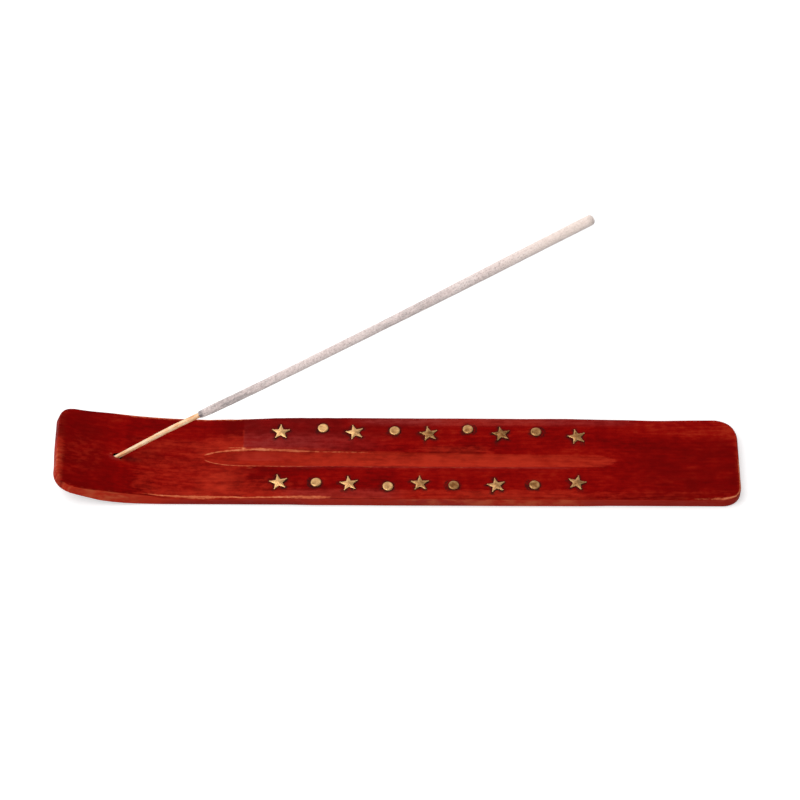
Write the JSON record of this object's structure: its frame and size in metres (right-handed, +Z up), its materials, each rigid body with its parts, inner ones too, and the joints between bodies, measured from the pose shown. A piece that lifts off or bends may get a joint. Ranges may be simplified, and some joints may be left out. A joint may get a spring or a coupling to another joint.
{
  "type": "incense stick holder",
  "caption": "Ski-shaped wooden ash catcher with a swept-up toe, a shallow ash groove, brass star and dot inlays, and a slanted hole that holds an incense stick over the groove.",
  "frame": {"origin": "middle of the footprint, on the surface that the holder stands on", "axes": "+X along the board from the swept-up toe to the heel, +Y to the back row of inlays, +Z up"},
  "size_m": [0.254, 0.038, 0.1398],
  "materials": {
    "dyed_wood": "deep red dye under a satin lacquer, worn orange along the edges",
    "brass": "hand-filed, slightly tarnished",
    "bamboo": "raw split bamboo",
    "incense_paste": "dry rolled incense paste, matt and grainy"
  },
  "bodies": {
    "holder": {"tray": "dyed_wood", "back_star_1": "brass", "back_star_2": "brass", "back_star_3": "brass", "back_star_4": "brass", "back_star_5": "brass", "front_star_1": "brass", "front_star_2": "brass", "front_star_3": "brass", "front_star_4": "brass", "front_star_5": "brass", "back_dot_1": "brass", "back_dot_2": "brass", "back_dot_3": "brass", "back_dot_4": "brass", "front_dot_1": "brass", "front_dot_2": "brass", "front_dot_3": "brass", "front_dot_4": "brass"},
    "stick": {"bamboo_splint": "bamboo", "incense_coating": "incense_paste"}
  },
  "joints": [
    {"name": "stick_slide", "type": "slide", "parent": "holder", "child": "stick", "axis": [0.7891, 0, 0.6143], "range_m": [0, 0.02]}
  ]
}
